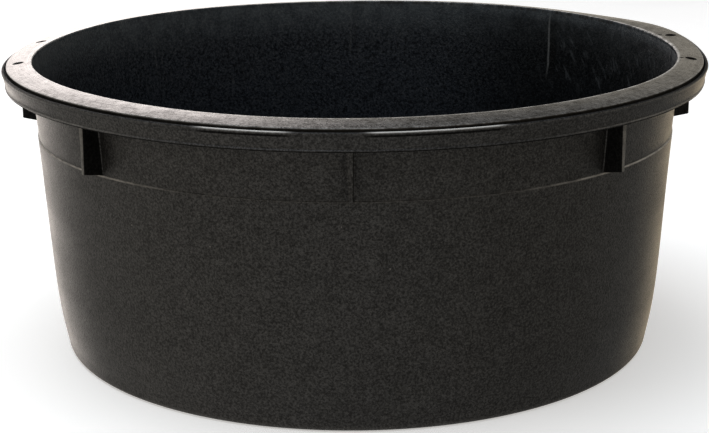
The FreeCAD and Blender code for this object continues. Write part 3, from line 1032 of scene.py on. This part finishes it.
def build_materials():
    """Materials by the kind of piece they cover."""
    ledge_z = LEDGE_Z - 0.7
    return {
        "wall": plastic(
            "pe_wall", wear_and_highlight_colour=(0.60, 0.57, 0.53), rough=0.46, grain=1.0, speck=0.05,
            streak_height=26.0,
            # the bands along the ledge are a painted highlight, strong at the sides and faint at
            # the front
            wear_and_highlight_marks=[WearAndHighlightBand("z", at=ledge_z, width=1.9, strength=1.3, sides_only=True),
                  WearAndHighlightBand("z", at=ledge_z, width=1.6, strength=0.12)]),
        "corner": plastic(
            "pe_base_corner", wear_and_highlight_colour=(0.10, 0.095, 0.088), rough=0.50, grain=1.1, speck=0.09,
            streak_height=26.0, streak_radius=10.0,
            wear_and_highlight_marks=[WearAndHighlightBand("z", at=3.0, width=6.0, strength=0.45)]),
        "floor": plastic(
            "pe_floor", wear_and_highlight_colour=(0.09, 0.086, 0.08), rough=0.52, grain=1.1, speck=0.10,
            streak_height=10.0, streak_radius=30.0,
            wear_and_highlight_marks=[WearAndHighlightBand("z", at=0.0, width=2.0, strength=0.6)]),
        "band": plastic(
            "pe_upper_band", wear_and_highlight_colour=(0.085, 0.080, 0.072), rough=0.46, grain=1.0, speck=0.05,
            streak_height=26.0,
            # a painted highlight along the ledge
            wear_and_highlight_marks=[WearAndHighlightBand("z", at=LEDGE_Z, width=1.6, strength=0.3)]),
        "flange": plastic(
            "pe_rim_flange", base=(0.0085, 0.0080, 0.0074), wear_and_highlight_colour=(0.62, 0.585, 0.54),
            rough=0.29, grain=0.28, speck=0.07, streak_radius=260.0,
            wear_and_highlight_marks=[WearAndHighlightBand("r", at=FLANGE_OUT_R - 0.4, width=2.2, strength=0.30),
                  WearAndHighlightBand("r", at=OPENING_R + 0.9, width=4.2, strength=1.5)],
            specular=0.56, streak=0.50, patchy=0.30, film=0.70),
        "skirt": plastic(
            "pe_rim_skirt", base=(0.0106, 0.0102, 0.0096), wear_and_highlight_colour=(0.20, 0.19, 0.17),
            rough=0.42, grain=0.9, speck=0.07, streak_height=120.0,
            # a painted highlight along the hem's shoulder, at the sides
            wear_and_highlight_marks=[WearAndHighlightBand("z", at=SKIRT_BOT_Z + 2.9, width=1.4, strength=1.0, sides_only=True)]),
        "gusset": plastic(
            "pe_gusset", wear_and_highlight_colour=(0.30, 0.285, 0.26), rough=0.45, grain=0.9, speck=0.05,
            streak_height=26.0, shade=0.78,
            # a painted highlight along the gussets' outer edges, at the sides
            wear_and_highlight_marks=[WearAndHighlightBand("r", at=GUSSET_OUT_R, width=1.4, strength=0.8, sides_only=True)]),
    }


# ---------------------------------------------------------------------------
# stage: pale floor, soft studio light, camera
# ---------------------------------------------------------------------------
def build_stage_floor():
    bm = bmesh.new()
    bmesh.ops.create_grid(bm, x_segments=8, y_segments=8, size=14.0)
    ob = add_bmesh("stage_floor", bm)
    ob.location = (0, 4.0, -0.0003)
    mat = bpy.data.materials.new("stage_pale")
    mat.use_nodes = True
    t = Tree(mat.node_tree)
    clouds = t.noise(t.get("ShaderNodeNewGeometry", "Position"), scale=1.3, detail=3.0)
    colour = t.mix(clouds.ramp(start=0.35, stop=0.65),
                   (0.86, 0.855, 0.845, 1), (0.90, 0.895, 0.885, 1))
    pale = t.get("ShaderNodeBsdfPrincipled", "BSDF", in_Base_Color=colour,
                 in_Emission_Color=(1.0, 0.985, 0.96, 1.0), in_Emission_Strength=0.42,
                 in_Roughness=0.85, in_Specular_IOR_Level=0.2)
    # from below the floor lets the view through to the tub's underside
    below = t.get("ShaderNodeNewGeometry", "Backfacing")
    clear = t.get("ShaderNodeBsdfTransparent", "BSDF")
    either = t.get("ShaderNodeMixShader", 0, in_0=below, in_1=pale, in_2=clear)
    t.node("ShaderNodeOutputMaterial", in_Surface=either)
    ob.data.materials.append(mat)
    ob.visible_glossy = False
    ob.visible_diffuse = False


# glows below the horizon: (direction, start and stop of the closeness, colour)
LOW_GLOWS = [((1.0, -0.10, -0.25), 0.30, 0.95, (0.20, 0.195, 0.185, 1)),
             ((-1.0, -0.10, -0.25), 0.30, 0.95, (0.50, 0.475, 0.44, 1)),
             ((0.27, 0.93, -0.25), 0.92, 0.997, (2.7, 2.2, 1.5, 1)),
             ((-0.27, 0.96, -0.25), 0.875, 0.996, (4.8, 4.35, 4.0, 1))]


def build_world():
    world = bpy.data.worlds.new("studio")
    bpy.context.scene.world = world
    world.use_nodes = True
    t = Tree(world.node_tree)
    direction = t.get("ShaderNodeTexCoord", "Generated")
    x, y, h = t.split(direction)

    def toward(aim):
        """1 looking along aim, falling off with the angle."""
        return t.get("ShaderNodeVectorMath", "Value", operation="DOT_PRODUCT",
                     in_0=direction, in_1=Vector(aim).normalized())

    # warm low down, grey and then bluish overhead, brighter at the back left
    upper = t.mix(h.ramp(start=0.10, stop=0.50),
                  (0.79, 0.715, 0.585, 1), (0.40, 0.39, 0.375, 1))
    upper = t.mix(h.ramp(start=0.55, stop=0.95), upper, (0.33, 0.38, 0.47, 1))
    back_left = toward((-0.55, 0.83, 0.05)).ramp(start=0.78, stop=1.0)
    upper = t.mix(back_left, upper, (0.92, 0.86, 0.82, 1))
    lower = (0.43, 0.425, 0.415, 1)
    for aim, start, stop, tint in LOW_GLOWS:
        lower = t.mix(toward(aim).ramp(start, stop), lower, tint)
    colour = t.mix(h.ramp(start=-0.12, stop=0.02), lower, upper)
    # a pale band along the horizon at the back
    horizon = abs(h + 0.03).ramp(start=0.13, stop=0.0) * y.ramp(start=0.5, stop=0.95)
    colour = t.mix(horizon * 0.6, colour, (0.95, 0.90, 0.83, 1))
    # a tall bright screen behind the tub to the left, seen only as sheen;
    # bearings are degrees from the rear, negative to the left
    bearing = t.math("DEGREES", t.math("ARCTAN2", x, y))
    screen = bearing.ramp(start=-3.9, stop=-6.9) * bearing.ramp(start=-42.0, stop=-32.0)
    screen = screen * (h.ramp(start=-0.02, stop=0.03) * h.ramp(start=0.72, stop=0.58))
    screen = screen * t.get("ShaderNodeLightPath", "Is Glossy Ray")
    glow = t.mix(bearing.ramp(start=-20.0, stop=-8.0),
                 (2.35, 2.15, 2.06, 1), (3.30, 3.0, 2.87, 1))
    colour = t.mix(screen, colour, glow)
    # past the floor the camera sees a plain pale backdrop
    camera_ray = t.get("ShaderNodeLightPath", "Is Camera Ray")
    colour = t.mix(camera_ray, colour, (0.93, 0.925, 0.915, 1))
    background = t.get("ShaderNodeBackground", 0, in_Color=colour, in_Strength=1.0)
    t.node("ShaderNodeOutputWorld", in_Surface=background)


def add_softbox(name, place, aim, size, power, colour):
    light = bpy.data.lights.new(name, "AREA")
    light.shape = "RECTANGLE"
    light.size, light.size_y = size
    light.energy = power
    light.color = colour
    ob = add_object(name, light)
    ob.location = place
    ob.rotation_euler = (Vector(aim) - Vector(place)).to_track_quat("-Z", "Y").to_euler()


def build_camera():
    """Camera in front of the tub, a little to the right, looking slightly down."""
    data = bpy.data.cameras.new("camera")
    cam = add_object("camera", data)
    data.sensor_fit = "HORIZONTAL"
    data.sensor_width = 36.0
    data.lens = 87.713061
    data.clip_start = 0.1
    data.clip_end = 60.0
    orbit = Matrix.Rotation(math.radians(0.75), 4, "Z")
    tilt = Matrix.Rotation(math.radians(90.0 - 15.78), 4, "X")
    roll = Matrix.Rotation(-0.0092, 4, "Z")
    cam.rotation_mode = "QUATERNION"
    cam.location = orbit @ Vector((-0.0021, -2.3379, 0.8165))
    cam.rotation_quaternion = (orbit @ tilt @ roll).to_quaternion()
    bpy.context.scene.camera = cam


# ---------------------------------------------------------------------------
# build
# ---------------------------------------------------------------------------
# (object, frame node, material, slot)
pieces = [(build_floor(), "floor_panel", "floor", "tub_plastic"),
          (build_corner(), "base_corner", "corner", "tub_plastic"),
          (build_wall(), "side_wall", "wall", "tub_plastic"),
          (build_band(), "upper_band", "band", "tub_plastic"),
          (build_flange(), "rim_flange", "flange", "rim_plastic"),
          (build_skirt(), "rim_skirt", "skirt", "rim_plastic")]
pieces += [(build_gusset(node, i * GUSSET_PITCH), node, "gusset", "tub_plastic")
           for i, node in enumerate(GUSSETS)]
materials = build_materials()
for piece, node, kind, slot in pieces:
    piece.data.materials.clear()
    piece.data.materials.append(materials[kind])
    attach(piece, "root")
    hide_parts(node)
# the frame's own nodes are not shown, and still get the matching finish
for _, node, kind, _ in pieces:
    for material_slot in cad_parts[node].material_slots:
        material_slot.material = materials[kind]

build_stage_floor()
build_world()
add_softbox("key_back_left", place=(-1.42, 3.0, 1.75), aim=(-1.0, 0, 1.0),
            size=(2.3, 3.0), power=18.0, colour=(1.0, 0.92, 0.885))
add_softbox("top_soft", place=(-0.6, -0.2, 3.2), aim=(0, 0, 0.2),
            size=(2.6, 2.6), power=60.0, colour=(0.93, 0.97, 1.0))
build_camera()

view = bpy.context.scene.view_settings
view.view_transform = "Standard"
view.look = "None"
view.exposure = 0.0
view.gamma = 1.0

bpy.context.view_layer.update()
